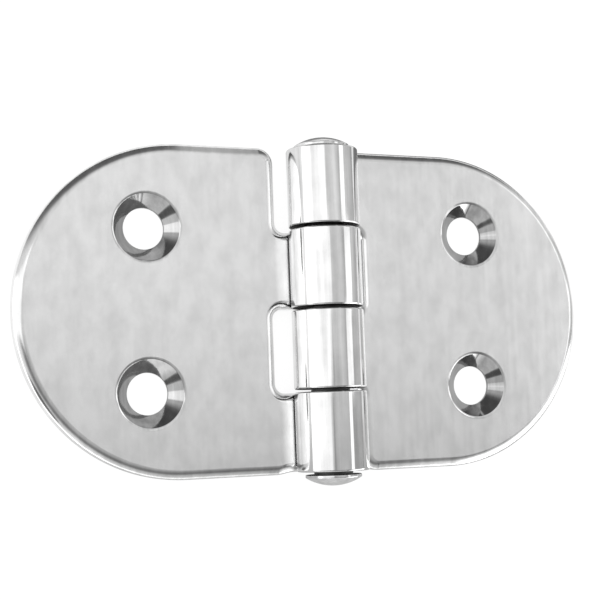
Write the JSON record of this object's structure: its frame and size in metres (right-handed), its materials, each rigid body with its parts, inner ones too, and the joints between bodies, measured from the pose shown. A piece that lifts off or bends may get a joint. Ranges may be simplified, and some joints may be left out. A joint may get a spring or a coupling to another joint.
{
  "type": "hinge",
  "caption": "Surface hinge of polished stainless sheet with half-round leaves, rolled knuckles, a headed pin and countersunk screw holes.",
  "frame": {"origin": "on the plane of the leaves' backs, under the middle of the pin", "axes": "+X along the right leaf, +Y along the pin, +Z out of the countersunk faces"},
  "size_m": [0.075, 0.0423, 0.0088],
  "materials": {
    "leaf_steel": "stainless sheet, polished with a fine grain along the pin",
    "pin_steel": "stainless rod, heads formed and polished"
  },
  "bodies": {
    "left_side": {"left_leaf": "leaf_steel", "hinge_pin": "pin_steel"},
    "right_side": {"right_leaf": "leaf_steel"}
  },
  "joints": [
    {"name": "leaf_swing", "type": "hinge", "parent": "left_side", "child": "right_side", "pos_m": [0, 0, 0.0044], "axis": [0, -1, 0], "range_deg": [-90, 180]}
  ]
}
